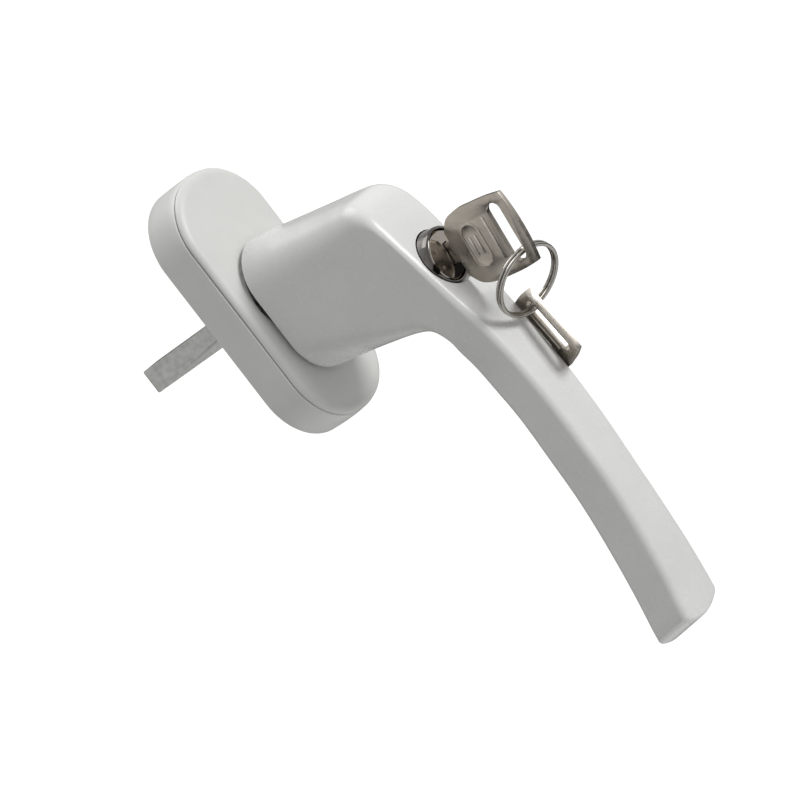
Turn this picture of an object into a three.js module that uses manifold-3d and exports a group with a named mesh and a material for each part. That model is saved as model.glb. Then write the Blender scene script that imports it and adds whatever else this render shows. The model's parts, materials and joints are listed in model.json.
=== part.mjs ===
// A lockable window handle: an oblong rosette, a hollow-necked lever handle on a
// 7 mm square spindle, and a key cylinder that shoots a small bolt into the rosette.
//
// Millimetres. The origin is on the spindle axis, at the rosette's back, which is
// the face of the window sash. -Y points out of the sash, towards the room.
// -Z points down the lever in its closed position. +X is to the right, seen from
// the room. Places are written as x, "out" (= -Y) and "down" (= -Z).
import * as THREE from "three";
import { mergeVertices } from "three/addons/utils/BufferGeometryUtils.js";
import Module from "manifold-3d";

const wasm = await Module();
wasm.setup();

// ---------------------------------------------------------------- dimensions

const GAP = 0.3; // clearance between neighbouring pieces

// rosette
const BASE_HALF_WIDTH = 17.9;
const BASE_HALF_LENGTH = 37.6;
const BASE_TOP = 10.9;
const BASE_WALL = 2.2;
const BASE_FLOOR = 3.0;
const BASE_BULGE = 0.2; // the wall swells this much half way up
const COVER_SETBACK = 0.35; // the cover is this much smaller all round
const COVER_BOTTOM = BASE_TOP + GAP;
const COVER_TOP = 12.9;
const COVER_SKIN = 1.3;
const COVER_EDGE_WIDTH = 2.6; // the cover's rounded edge, across its face
const COVER_EDGE_HEIGHT = 1.6;
const COVER_HOLE_RADIUS = 12.0;
const END_SETBACK = 1.4; // the rosette's ends are this much flatter than half circles
const SCREW_SPACING = 43;
const SCREW_HOLE_RADIUS = 2.65;
const SCREW_HEAD_RADIUS = 4.9;
const SCREW_BOSS_RADIUS = 5.9;
const SCREW_BOSS_TOP = 8.4;

// bearing and detent, in the middle of the rosette
const STUB_RADIUS = 6.4;
const STUB_FLAT = 5.4; // half the width across the stub's two flats
const STUB_END = 0.3;
const CLIP_BOTTOM = 1.1;
const CLIP_TOP = 1.8;
const CLIP_GROOVE_RADIUS = 5.8;
const CLIP_OUTER_RADIUS = 8.4;
const WASHER_BOTTOM = 2.1;
const WASHER_TOP = 2.8;
const WASHER_RADIUS = 9.1;
const RECESS_RADIUS = 9.6; // the round recess in the rosette's back
const WEB_BOTTOM = 3.1;
const WEB_TOP = 5.2;
const BUSH_SLEEVE_RADIUS = 7.5;
const BUSH_FLANGE_BOTTOM = 5.5;
const BUSH_TOP = 6.3;
const HUB_BOTTOM = 6.6;
const HUB_TOP = 8.8;
const HUB_RADIUS = 9.9;
const NOTCH_DEPTH = 0.7;
const PLATE_BOTTOM = 9.1;
const PLATE_TOP = 10.2;
const PLATE_REACH = 17.6; // how far each arm of the index plate reaches
const PLATE_ARM_HALF = 4.6;
const PLATE_SCREW_REACH = 14.6;
const PLATE_SCREW_RADIUS = 1.2;
const BALL_RADIUS = 1.3;
const BALL_OUT = (HUB_BOTTOM + HUB_TOP) / 2;
const BALL_REACH = HUB_RADIUS + BALL_RADIUS + 0.15;
const CHANNEL_HALF = 1.75;
const CHANNEL_FLOOR = 6.1;
const CHANNEL_END = 18.2;

// spindle
const SPINDLE_HALF = 3.5; // 7 mm square
const SPINDLE_REACH = 41.5; // behind the rosette
const SPINDLE_DEPTH = 33.6; // inside the handle
const SPINDLE_SLACK = 0.15;
const PIN_RADIUS = 0.6;
const PIN_SLACK = 0.15;
const PIN_HALF = 9.3;

// handle: each station is one cross-section, from the neck's foot to the lever's
// tip. front = the room side, back = the side that faces the rosette.
// [front down, front out, back down, back out, half width, front radius, back radius]
const NECK_FOOT = 14.1;
const STATIONS = [
  [-14.4, 14.1, 24.8, 14.1, 12.5, 12.0, 12.0],
  [-12.9, 23.0, 25.5, 21.5, 12.3, 10.6, 10.4],
  [-11.1, 33.0, 26.4, 29.5, 12.0, 9.6, 8.6],
  [-9.5, 42.0, 27.4, 37.0, 11.6, 8.4, 6.6],
  [-8.2, 49.0, 28.3, 43.0, 11.2, 6.8, 5.0],
  [-6.8, 53.6, 29.2, 47.2, 10.9, 5.2, 4.2],
  [-3.4, 57.0, 30.3, 50.2, 10.6, 3.9, 3.7],
  [2.6, 59.1, 31.8, 52.2, 10.4, 2.9, 3.3],
  [9.5, 60.6, 33.8, 53.4, 10.2, 2.7, 3.0],
  [17.5, 62.1, 36.4, 54.2, 9.9, 2.6, 2.8],
  [26.5, 63.6, 39.8, 54.2, 9.4, 2.3, 2.6],
  [36.0, 65.2, 44.8, 54.4, 8.6, 2.1, 2.5],
  [47.0, 66.3, 51.6, 54.4, 8.0, 2.0, 2.5],
  [60.0, 67.1, 61.5, 54.9, 7.9, 2.0, 2.5],
  [74.0, 66.9, 74.0, 54.4, 7.8, 2.0, 2.5],
  [88.0, 66.1, 87.0, 53.5, 7.5, 2.0, 2.5],
  [102.0, 64.7, 100.5, 52.1, 7.9, 2.0, 2.5],
  [113.8, 63.0, 114.8, 50.1, 8.5, 2.0, 2.4],
  [125.0, 60.8, 127.0, 48.0, 9.1, 2.0, 2.2],
];
const SECTIONS_PER_STATION = 1;
const FRONT_CROWN = 0.45; // the front face swells this much across its width
const TIP_EDGE_RADIUS = 1.2;
const TIP_LENGTH = 4.6; // from the last station to the tip's edge
const TIP_ARC = 2.6; // the tip's end is an arc, this deep
const TIP_STEPS = 5;
const TIP_RUN = direction(0, -0.19, 1); // the way the lever runs at its tip

// lock, in its own leaning frame: "out" runs along the lock's axis
const LOCK_LEAN = THREE.MathUtils.degToRad(8.2);
const LOCK_DOWN = 17.0;
const LOCK_OUT = 61.0;
const RING_RADIUS = 7.7;
const RING_INNER_RADIUS = 6.9;
const RING_TOP = 2.9;
const RING_BOTTOM = -3.0;
const BARREL_RADIUS = 6.6;
const BARREL_BORE_RADIUS = 5.6;
const BARREL_TOP = 2.0;
const BARREL_BOTTOM = -19.0;
const PLUG_RADIUS = 5.3;
const PLUG_HEAD_RADIUS = 6.5;
const PLUG_HEAD_BOTTOM = 2.3;
const PLUG_FACE = 2.7;
const PLUG_DOME = 0.95;
const PLUG_BOTTOM = -18.4;
const TAIL_RADIUS = 2.6;
const TAIL_FLAT = 2.0;
const TAIL_END = -24.2;
const TAIL_GROOVE_RADIUS = 2.0;
const PLUG_CLIP_BOTTOM = -20.4;
const PLUG_CLIP_TOP = -19.6;
const PLUG_CLIP_RADIUS = 4.3;
const WAFER_OUTS = [-2.6, -6.0, -9.4, -12.8];
const WAFER_THICKNESS = 1.0;
const WAFER_HALF_WIDTH = 2.7;
const WAFER_HALF_HEIGHT = 4.45;
const WAFER_TRAVEL = 0.7;
const GROOVE_RADIUS = 6.15;
const CAM_RADIUS = 4.4;
const CAM_TOP = -21.0;
const CAM_HIGH = -22.5;
const BOLT_STROKE = 3.0;
const FOLLOWER_REACH = 3.55;
const FOLLOWER_ANGLE = 12; // degrees round the cam, where the ramp is highest
const FOLLOWER_RADIUS = 0.6;
const FOLLOWER_TOP = CAM_HIGH - 0.45;
const PISTON_TOP = CAM_HIGH - BOLT_STROKE - 0.6;
const PISTON_BOTTOM = PISTON_TOP - 2.5;
const PISTON_RADIUS = 4.4;
const BOLT_RADIUS = 1.4;
const BOLT_END_OUT = 12.2; // above the sash, bolt drawn back
const SPRING_BOTTOM = -35.6;
const BOLT_BORE_BOTTOM = -36.0;

// key, in the lock's frame
const KEY_THICKNESS = 1.5;
const BLADE_HALF = 2.9;
const BLADE_TIP = -15.5;
const BOW_SHOULDER = 5.6;
const BOW_SHOULDER_HALF = 6.2;
const BOW_OFFSET = 0.8; // the bow sits this far off the blade's middle line
const BOW_END = 26.6;
const BOW_END_HALF = 9.9;
const BOW_END_SWELL = 0.9;
const SLOT_OUT = 22.6;
const SLOT_HALF_WIDTH = 2.0;
const SLOT_HALF_LENGTH = 8.2;
const RIB_OUT = 18.3;
const PANEL_OUT = 12.6;
const PANEL_HALF_LENGTH = 6.2;
const PANEL_HALF_WIDTH = 3.0;
const RELIEF = 0.22; // height of the bow's raised pattern

// key ring and spare key, as they lie beside the closed lever
const SLOT_HANG = BOW_OFFSET + SLOT_HALF_LENGTH - 2.0; // where the wire crosses the first key
const SPARE_HANG = SLOT_HALF_LENGTH - 2.2 - BOW_OFFSET; // and the spare key
const RING_SHIFT = 0.1; // the wire lies this far towards the bow's end
const KEY_RING_RADIUS = 9.8;
const RING_NORMAL = direction(-0.32, 0.63, 0.71);
const RING_HANGS = direction(0.37, -0.68, 0.66).projectOnPlane(RING_NORMAL).normalize();
const WIRE_RADIAL = 1.1;
const WIRE_AXIAL = 0.95;
const WIRE_PITCH = 1.05;
const SPARE_OUTWARD = direction(-0.5, 0.87, -0.2); // from its blade to its bow
const SPARE_ACROSS = direction(-0.101, 0.173, 0.98).projectOnPlane(SPARE_OUTWARD).normalize();

// ------------------------------------------------------------------ helpers

function at(x, out, down) {
  return new THREE.Vector3(x, -out, -down);
}

function direction(x, out, down) {
  return at(x, out, down).normalize();
}

// Flips a closed mesh whose faces point inwards.
function facingOut(geometry) {
  const position = geometry.attributes.position;
  const index = geometry.index.array;
  const corner = [0, 1, 2].map(() => new THREE.Vector3());
  let volume = 0;
  for (let i = 0; i < index.length; i += 3) {
    corner.forEach((v, k) => v.fromBufferAttribute(position, index[i + k]));
    volume += corner[0].dot(corner[1].cross(corner[2]));
  }
  if (volume < 0) {
    for (let i = 0; i < index.length; i += 3) {
      [index[i], index[i + 1]] = [index[i + 1], index[i]];
    }
  }
  return geometry;
}

// A closed mesh with shared corners and only a position attribute.
function welded(geometry) {
  const bare = geometry.clone();
  bare.deleteAttribute("normal");
  bare.deleteAttribute("uv");
  return facingOut(mergeVertices(bare, 1e-4));
}

function toSolid(geometry) {
  const mesh = welded(geometry);
  const vertProperties = Float32Array.from(mesh.attributes.position.array);
  const triVerts = Uint32Array.from(mesh.index.array);
  return new wasm.Manifold(new wasm.Mesh({ numProp: 3, vertProperties, triVerts }));
}

// The first geometry, joined with those in add and then cut by those in cut.
function shaped(geometry, { add = [], cut = [] }) {
  let solid = toSolid(geometry);
  for (const other of add) solid = solid.add(toSolid(other));
  for (const other of cut) solid = solid.subtract(toSolid(other));
  const mesh = solid.getMesh();
  const result = new THREE.BufferGeometry();
  const position = Float32Array.from(mesh.vertProperties);
  result.setAttribute("position", new THREE.BufferAttribute(position, 3));
  result.setIndex(new THREE.BufferAttribute(Uint32Array.from(mesh.triVerts), 1));
  return result;
}

// A round bar along the out direction, centred on x and down.
function bar(radius, from, to, { x = 0, down = 0, segments = 32 } = {}) {
  const geometry = new THREE.CylinderGeometry(radius, radius, to - from, segments);
  return geometry.translate(x, -(from + to) / 2, -down);
}

// A box between two corners, each given as [x, out, down].
function block([x0, out0, down0], [x1, out1, down1]) {
  const geometry = new THREE.BoxGeometry(
    Math.abs(x1 - x0),
    Math.abs(out1 - out0),
    Math.abs(down1 - down0),
  );
  return geometry.translate((x0 + x1) / 2, -(out0 + out1) / 2, -(down0 + down1) / 2);
}

// A body turned about the out axis from a closed profile of [radius, out] points.
function turned(profile, segments = 32) {
  const points = profile.map(([radius, out]) => new THREE.Vector2(radius, -out));
  return new THREE.LatheGeometry(points, segments);
}

function tube(inner, outer, from, to, segments = 32) {
  const profile = [[inner, from], [outer, from], [outer, to], [inner, to], [inner, from]];
  return turned(profile, segments);
}

// A flat shape of (out, down), given a thickness along X.
function sheet(shape, halfThickness, curveSegments = 8) {
  const options = { depth: 2 * halfThickness, bevelEnabled: false, curveSegments };
  const geometry = new THREE.ExtrudeGeometry(shape, options);
  const toSide = new THREE.Matrix4().makeBasis(
    new THREE.Vector3(0, -1, 0),
    new THREE.Vector3(0, 0, -1),
    new THREE.Vector3(1, 0, 0),
  );
  return geometry.translate(0, 0, -halfThickness).applyMatrix4(toSide);
}

// Skins a list of rings with equal numbers of points and closes both ends.
function loft(rings) {
  const count = rings[0].length;
  const points = rings.flat();
  const index = [];
  for (let r = 0; r + 1 < rings.length; r++) {
    for (let i = 0; i < count; i++) {
      const a = r * count + i;
      const b = r * count + ((i + 1) % count);
      index.push(a, b, a + count, b, b + count, a + count);
    }
  }
  for (const [r, flip] of [[0, true], [rings.length - 1, false]]) {
    const centre = new THREE.Vector3();
    rings[r].forEach((p) => centre.addScaledVector(p, 1 / count));
    points.push(centre);
    for (let i = 0; i < count; i++) {
      const a = r * count + i;
      const b = r * count + ((i + 1) % count);
      index.push(points.length - 1, flip ? b : a, flip ? a : b);
    }
  }
  const geometry = new THREE.BufferGeometry().setFromPoints(points);
  geometry.setIndex(index);
  return facingOut(geometry);
}

// Points [a, b] round a rectangle whose corners are arcs: frontRadius where b > 0.
function roundedRectangle(halfA, halfB, frontRadius, backRadius, arcSteps, sideSteps) {
  const points = [];
  const corners = [[1, 1], [-1, 1], [-1, -1], [1, -1]];
  corners.forEach(([sideA, sideB], k) => {
    const radius = sideB > 0 ? frontRadius : backRadius;
    for (let i = 0; i <= arcSteps; i++) {
      const angle = ((k + i / arcSteps) * Math.PI) / 2;
      const a = sideA * (halfA - radius) + radius * Math.cos(angle);
      const b = sideB * (halfB - radius) + radius * Math.sin(angle);
      points.push([a, b]);
    }
  });
  const arcPoints = arcSteps + 1;
  return points.flatMap(([a, b], i) => {
    const [nextA, nextB] = points[(i + 1) % points.length];
    const steps = (i + 1) % arcPoints === 0 ? sideSteps : 1;
    const row = [];
    for (let s = 0; s < steps; s++) {
      const t = s / steps;
      row.push([a + t * (nextA - a), b + t * (nextB - b)]);
    }
    return row;
  });
}

// A wire swept along a curve, with a six-sided section.
function wire(curve, halfWidth, halfHeight, steps) {
  const corners = [[1, 0], [0.7, 0.8], [-0.7, 0.8]];
  const half = corners.map(([p, q]) => new THREE.Vector2(p * halfWidth, q * halfHeight));
  const section = new THREE.Shape([...half, ...half.map((p) => p.clone().negate())]);
  return new THREE.ExtrudeGeometry(section, { steps, extrudePath: curve });
}

// A helix round the out axis, used for springs and for the split ring.
class Helix extends THREE.Curve {
  constructor(radius, from, to, turns) {
    super();
    Object.assign(this, { radius, from, to, turns });
  }

  getPoint(t, target = new THREE.Vector3()) {
    const angle = 2 * Math.PI * this.turns * t;
    const out = this.from + t * (this.to - this.from);
    return target.set(this.radius * Math.cos(angle), -out, this.radius * Math.sin(angle));
  }
}

function coilSpring(radius, from, to, turns, wireRadius) {
  const path = new Helix(radius, from, to, turns);
  return wire(path, wireRadius, wireRadius, turns * 9);
}

// ------------------------------------------------------------------ rosette

function rosetteRing(setback, out) {
  const halfWidth = BASE_HALF_WIDTH - setback;
  const halfLength = BASE_HALF_LENGTH - setback;
  const radius = halfWidth - END_SETBACK;
  const outline = roundedRectangle(halfWidth, halfLength, radius, radius, 7, 2);
  return outline.map(([x, down]) => at(x, out, down));
}

// Places a piece that was made on the +X side at an angle round the spindle.
function turnedBy(geometry, degrees) {
  return geometry.rotateY(THREE.MathUtils.degToRad(degrees));
}

function rosetteBase() {
  const skin = loft([
    rosetteRing(0.15, 0),
    rosetteRing(-0.1, 0.4),
    rosetteRing(-BASE_BULGE, BASE_TOP / 2),
    rosetteRing(0, BASE_TOP - 0.5),
    rosetteRing(0.4, BASE_TOP),
  ]);
  const hollow = loft([
    rosetteRing(BASE_WALL, BASE_FLOOR),
    rosetteRing(BASE_WALL, COVER_TOP),
  ]);
  const tub = shaped(skin, { cut: [hollow] });
  const screwHoles = [-1, 1].map((side) => side * SCREW_SPACING / 2);
  const bosses = screwHoles.map((down) => bar(SCREW_BOSS_RADIUS, 1, SCREW_BOSS_TOP, { down }));
  const channels = [45, 225].map((degrees) =>
    turnedBy(block([RECESS_RADIUS, 1, -3.3], [CHANNEL_END + 1.4, PLATE_BOTTOM - GAP, 3.3]), degrees));
  const posts = [135, 315].map((degrees) =>
    turnedBy(bar(2.8, 1, PLATE_BOTTOM - GAP, { x: PLATE_SCREW_REACH }), degrees));
  const centre = bar(RECESS_RADIUS + 1.8, 1, WEB_TOP, { segments: 32 });
  return shaped(tub, {
    add: [centre, ...bosses, ...channels, ...posts],
    cut: [
      bar(RECESS_RADIUS, -1, WEB_BOTTOM, { segments: 32 }),
      bar(BUSH_SLEEVE_RADIUS + 0.15, 0, 7, { segments: 32 }),
      bar(HUB_RADIUS + GAP, WEB_TOP, 12, { segments: 32 }),
      ...screwHoles.map((down) => bar(SCREW_HOLE_RADIUS, -1, 12, { down, segments: 24 })),
      ...screwHoles.map((down) => countersink(down)),
      ...[45, 225].map((degrees) => turnedBy(
        block([8, CHANNEL_FLOOR, -CHANNEL_HALF], [CHANNEL_END, 12, CHANNEL_HALF]), degrees)),
      ...[135, 315].map((degrees) => turnedBy(
        bar(PLATE_SCREW_RADIUS + 0.15, 4, 12, { x: PLATE_SCREW_REACH, segments: 16 }), degrees)),
    ],
  });
}

function countersink(down) {
  const depth = SCREW_HEAD_RADIUS - SCREW_HOLE_RADIUS;
  const profile = [
    [0, SCREW_BOSS_TOP - depth],
    [SCREW_HOLE_RADIUS, SCREW_BOSS_TOP - depth],
    [SCREW_HEAD_RADIUS, SCREW_BOSS_TOP],
    [SCREW_HEAD_RADIUS, SCREW_BOSS_TOP + 1],
    [0, SCREW_BOSS_TOP + 1],
  ];
  return turned(profile, 24).translate(0, 0, -down);
}

function rosetteCover() {
  const rings = [rosetteRing(COVER_SETBACK, COVER_BOTTOM)];
  const steps = 5;
  for (let i = 0; i <= steps; i++) {
    const angle = (i / steps) * Math.PI / 2;
    const setback = COVER_SETBACK + COVER_EDGE_WIDTH * (1 - Math.cos(angle));
    const out = COVER_TOP - COVER_EDGE_HEIGHT * (1 - Math.sin(angle));
    rings.push(rosetteRing(setback, out));
  }
  const hollow = loft([
    rosetteRing(COVER_SETBACK + COVER_SKIN + 0.3, COVER_BOTTOM - 1),
    rosetteRing(COVER_SETBACK + COVER_SKIN + 0.3, COVER_TOP - COVER_SKIN),
  ]);
  const hole = bar(COVER_HOLE_RADIUS, COVER_BOTTOM - 1, COVER_TOP + 1, { segments: 40 });
  return shaped(loft(rings), { cut: [hollow, hole] });
}

// A flat cross of two crossed arms with round ends, one of them for the two screws.
function indexPlate() {
  const disc = bar(HUB_RADIUS + 3.2, PLATE_BOTTOM, PLATE_TOP, { segments: 32 });
  const arms = [45, 135].map((degrees) => turnedBy(
    block([-PLATE_REACH, PLATE_BOTTOM, -PLATE_ARM_HALF], [PLATE_REACH, PLATE_TOP, PLATE_ARM_HALF]),
    degrees));
  const boltHoles = [0, 90, 180, 270].map((degrees) =>
    turnedBy(bar(BOLT_RADIUS + 0.6, 8, 12, { x: boltReachAt(PLATE_TOP), segments: 16 }), degrees));
  const screwHoles = [135, 315].map((degrees) =>
    turnedBy(bar(PLATE_SCREW_RADIUS + 0.15, 8, 12, { x: PLATE_SCREW_REACH, segments: 16 }), degrees));
  return shaped(disc, {
    add: arms,
    cut: [bar(STUB_RADIUS + GAP, 8, 12, { segments: 32 }), ...boltHoles, ...screwHoles],
  });
}

// How far the leaning bolt's middle is from the spindle axis, at a place "out".
function boltReachAt(out) {
  return LOCK_DOWN - (LOCK_OUT - out) * Math.tan(LOCK_LEAN);
}

function plateScrew() {
  const headTop = BASE_TOP - 0.1;
  const headBottom = PLATE_TOP + 0.2;
  return turned([
    [0, 4.6],
    [PLATE_SCREW_RADIUS - 0.1, 4.6],
    [PLATE_SCREW_RADIUS - 0.1, headBottom],
    [2.3, headBottom],
    [2.3, headTop - 0.2],
    [2.0, headTop],
    [0, headTop],
  ], 20);
}

function bearingBush() {
  return turned([
    [STUB_RADIUS + GAP, WEB_BOTTOM],
    [BUSH_SLEEVE_RADIUS, WEB_BOTTOM],
    [BUSH_SLEEVE_RADIUS, BUSH_FLANGE_BOTTOM],
    [RECESS_RADIUS, BUSH_FLANGE_BOTTOM],
    [RECESS_RADIUS, BUSH_TOP],
    [STUB_RADIUS + GAP, BUSH_TOP],
    [STUB_RADIUS + GAP, WEB_BOTTOM],
  ], 40);
}

// --------------------------------------------------- detent and retaining pieces

// The stub's section: a circle with two flats, grown by a clearance.
function stubSolid(from, to, clearance) {
  const radius = STUB_RADIUS + clearance;
  const flat = STUB_FLAT + clearance;
  const sides = block([-flat, from, -radius - 1], [flat, to, radius + 1]);
  return toSolid(bar(radius, from, to, { segments: 32 })).intersect(toSolid(sides));
}

function fromSolid(solid) {
  const mesh = solid.getMesh();
  const geometry = new THREE.BufferGeometry();
  const position = Float32Array.from(mesh.vertProperties);
  geometry.setAttribute("position", new THREE.BufferAttribute(position, 3));
  geometry.setIndex(new THREE.BufferAttribute(Uint32Array.from(mesh.triVerts), 1));
  return geometry;
}

function crossPinHole(radius) {
  const hole = new THREE.CylinderGeometry(radius, radius, 24, 16);
  return hole.rotateZ(Math.PI / 2).translate(0, -BALL_OUT, 0);
}

function detentHub() {
  const notchReach = HUB_RADIUS + 1.7 - NOTCH_DEPTH;
  const notches = [45, 135, 225, 315].map((degrees) =>
    turnedBy(bar(1.7, HUB_BOTTOM - 1, HUB_TOP + 1, { x: notchReach, segments: 20 }), degrees));
  const opening = fromSolid(stubSolid(HUB_BOTTOM - 1, HUB_TOP + 1, 0.2));
  return shaped(bar(HUB_RADIUS, HUB_BOTTOM, HUB_TOP, { segments: 40 }), {
    cut: [opening, ...notches, crossPinHole(PIN_RADIUS + PIN_SLACK)],
  });
}

function detentBall() {
  return new THREE.SphereGeometry(BALL_RADIUS, 16, 10).translate(BALL_REACH, -BALL_OUT, 0);
}

function detentSpring() {
  const start = BALL_REACH + BALL_RADIUS + 0.35;
  const coil = coilSpring(1.05, start, CHANNEL_END - 0.3, 4, 0.16);
  return coil.rotateZ(Math.PI / 2).translate(0, -BALL_OUT, 0);
}

// A flat ring with a gap, which snaps into a groove round a shaft.
function retainingClip(inner, outer, from, to, gapHalf, segments = 36) {
  const opening = block([inner - 1.5, from - 1, -gapHalf], [outer + 1, to + 1, gapHalf]);
  return shaped(tube(inner, outer, from, to, segments), { cut: [opening] });
}

function spindlePin() {
  const pin = new THREE.CylinderGeometry(PIN_RADIUS, PIN_RADIUS, 2 * PIN_HALF, 16);
  return pin.rotateZ(Math.PI / 2).translate(0, -BALL_OUT, 0);
}

function spindle() {
  const chamfer = 0.4;
  const ring = (half, out) => [[-1, -1], [1, -1], [1, 1], [-1, 1]]
    .map(([x, down]) => at(x * half, out, down * half));
  const rings = [
    ring(SPINDLE_HALF - chamfer, -SPINDLE_REACH),
    ring(SPINDLE_HALF, -SPINDLE_REACH + chamfer),
    ring(SPINDLE_HALF, SPINDLE_DEPTH - chamfer),
    ring(SPINDLE_HALF - chamfer, SPINDLE_DEPTH),
  ];
  return shaped(loft(rings), { cut: [crossPinHole(PIN_RADIUS + PIN_SLACK)] });
}

// ------------------------------------------------------------------- handle

// One smooth run of the stations' values, sampled between them.
function stationRun(...columns) {
  const pick = (row) => columns.map((c) => (c === null ? 0 : row[c]));
  return new THREE.CatmullRomCurve3(
    STATIONS.map((row) => new THREE.Vector3(...pick(row))), false, "centripetal");
}

// A cross-section: lift moves it along the lever, shrink draws its outline in, and
// arc pulls its sides back so that the tip ends in a curve.
function handleRing(front, back, [halfWidth, frontRadius, backRadius], shape = {}) {
  const { lift = 0, shrink = 0, arc = 0 } = shape;
  const middle = front.clone().add(back).multiplyScalar(0.5);
  const up = front.clone().sub(back);
  const halfHeight = up.length() / 2;
  up.normalize();
  const along = arc > 0 ? TIP_RUN : new THREE.Vector3(1, 0, 0).cross(up).normalize();
  const outline = roundedRectangle(
    halfWidth - shrink,
    halfHeight - shrink,
    Math.max(frontRadius - shrink, 0.3),
    Math.max(backRadius - shrink, 0.3),
    4,
    3,
  );
  return outline.map(([x, b]) => {
    const across = x / halfWidth;
    const crown = b > 0 ? FRONT_CROWN * (1 - across * across) : 0;
    const point = middle.clone().addScaledVector(up, b + crown);
    point.x += x;
    return point.addScaledVector(along, lift - arc * across * across);
  });
}

function handleSkin() {
  const fronts = stationRun(null, 1, 0);
  const backs = stationRun(null, 3, 2);
  const sizes = stationRun(4, 5, 6);
  const last = (STATIONS.length - 1) * SECTIONS_PER_STATION;
  const rings = [];
  const section = (t, shape) => {
    const front = fronts.getPoint(t);
    const back = backs.getPoint(t);
    const toSpace = (p) => at(0, p.y, p.z);
    rings.push(handleRing(toSpace(front), toSpace(back), sizes.getPoint(t).toArray(), shape));
  };
  section(0, { shrink: 0.5 });
  for (let i = 0; i <= last; i++) {
    const t = i / last;
    const nearTip = Math.max(0, (t - 0.9) / 0.1);
    const first = i === 0 ? { lift: 0.5 } : {};
    section(t, { ...first, arc: TIP_ARC * nearTip * nearTip });
  }
  for (let i = 0; i <= TIP_STEPS; i++) {
    const angle = (i / TIP_STEPS) * Math.PI / 2;
    const shrink = TIP_EDGE_RADIUS * (1 - Math.cos(angle));
    const lift = TIP_LENGTH - TIP_EDGE_RADIUS * (1 - Math.sin(angle));
    section(1, { lift, shrink, arc: TIP_ARC });
  }
  return loft(rings);
}

function lockFrame() {
  const frame = new THREE.Matrix4().makeRotationX(LOCK_LEAN);
  return frame.setPosition(at(0, LOCK_OUT, LOCK_DOWN));
}

function handleBody() {
  const leaning = (geometry) => geometry.applyMatrix4(lockFrame());
  const squareHalf = SPINDLE_HALF + SPINDLE_SLACK;
  const stub = fromSolid(stubSolid(STUB_END, NECK_FOOT + 3, 0));
  return shaped(handleSkin(), {
    add: [stub],
    cut: [
      block([-squareHalf, -1, -squareHalf], [squareHalf, SPINDLE_DEPTH + GAP, squareHalf]),
      tube(CLIP_GROOVE_RADIUS, STUB_RADIUS + 1, CLIP_BOTTOM - GAP, CLIP_TOP + GAP, 40),
      crossPinHole(PIN_RADIUS + PIN_SLACK),
      leaning(bar(RING_RADIUS + GAP, RING_BOTTOM - GAP, 12, { segments: 36 })),
      leaning(bar(BARREL_RADIUS + GAP, BARREL_BOTTOM - GAP, 0, { segments: 32 })),
      leaning(bar(PISTON_RADIUS + 0.4, BOLT_BORE_BOTTOM, BARREL_BOTTOM, { segments: 24 })),
      leaning(bar(BOLT_RADIUS + 0.35, -52, BOLT_BORE_BOTTOM + 1, { segments: 20 })),
    ],
  });
}

// --------------------------------------------------------------------- lock

function lockRing() {
  return turned([
    [RING_INNER_RADIUS, RING_BOTTOM],
    [RING_RADIUS, RING_BOTTOM],
    [RING_RADIUS, RING_TOP - 0.7],
    [RING_RADIUS - 0.25, RING_TOP - 0.2],
    [RING_RADIUS - 0.5, RING_TOP],
    [RING_INNER_RADIUS, RING_TOP - 0.3],
    [RING_INNER_RADIUS, RING_BOTTOM],
  ], 36);
}

function lockBarrel() {
  const grooveHalf = WAFER_HALF_WIDTH + GAP;
  const grooveTop = WAFER_OUTS[0] + WAFER_THICKNESS;
  const grooveBottom = WAFER_OUTS.at(-1) - WAFER_THICKNESS;
  const reach = GROOVE_RADIUS;
  return shaped(tube(BARREL_BORE_RADIUS, BARREL_RADIUS, BARREL_BOTTOM, BARREL_TOP, 32), {
    cut: [
      block([-grooveHalf, grooveBottom, -reach], [grooveHalf, grooveTop, reach]),
      block([-reach, grooveBottom, -grooveHalf], [reach, grooveTop, grooveHalf]),
    ],
  });
}

function lockPlug() {
  const body = turned([
    [0, TAIL_END],
    [TAIL_RADIUS, TAIL_END],
    [TAIL_RADIUS, PLUG_CLIP_BOTTOM - GAP],
    [TAIL_GROOVE_RADIUS, PLUG_CLIP_BOTTOM - GAP],
    [TAIL_GROOVE_RADIUS, PLUG_CLIP_TOP + GAP],
    [TAIL_RADIUS, PLUG_CLIP_TOP + GAP],
    [TAIL_RADIUS, PLUG_BOTTOM],
    [PLUG_RADIUS, PLUG_BOTTOM],
    [PLUG_RADIUS, PLUG_HEAD_BOTTOM],
    [PLUG_HEAD_RADIUS, PLUG_HEAD_BOTTOM],
    [PLUG_HEAD_RADIUS, PLUG_FACE - 0.3],
    [PLUG_HEAD_RADIUS * 0.9, PLUG_FACE],
    [PLUG_HEAD_RADIUS * 0.6, PLUG_FACE + PLUG_DOME * 0.7],
    [PLUG_HEAD_RADIUS * 0.3, PLUG_FACE + PLUG_DOME],
    [0, PLUG_FACE + PLUG_DOME],
  ], 32);
  const keyHalf = KEY_THICKNESS / 2 + GAP;
  const bladeHalf = BLADE_HALF + GAP;
  const slotHalf = WAFER_HALF_WIDTH + GAP;
  const flats = [-1, 1].map((side) =>
    block([side * TAIL_FLAT, TAIL_END - 1, -4], [side * 4, CAM_TOP + 0.1, 4]));
  const waferSlots = WAFER_OUTS.map((out) => block(
    [-slotHalf, out - WAFER_THICKNESS / 2 - GAP, -7],
    [slotHalf, out + WAFER_THICKNESS / 2 + GAP, 7],
  ));
  return shaped(body, {
    cut: [
      block([-keyHalf, BLADE_TIP - GAP, -bladeHalf], [keyHalf, 6, bladeHalf]),
      ...flats,
      ...waferSlots,
    ],
  });
}

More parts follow.
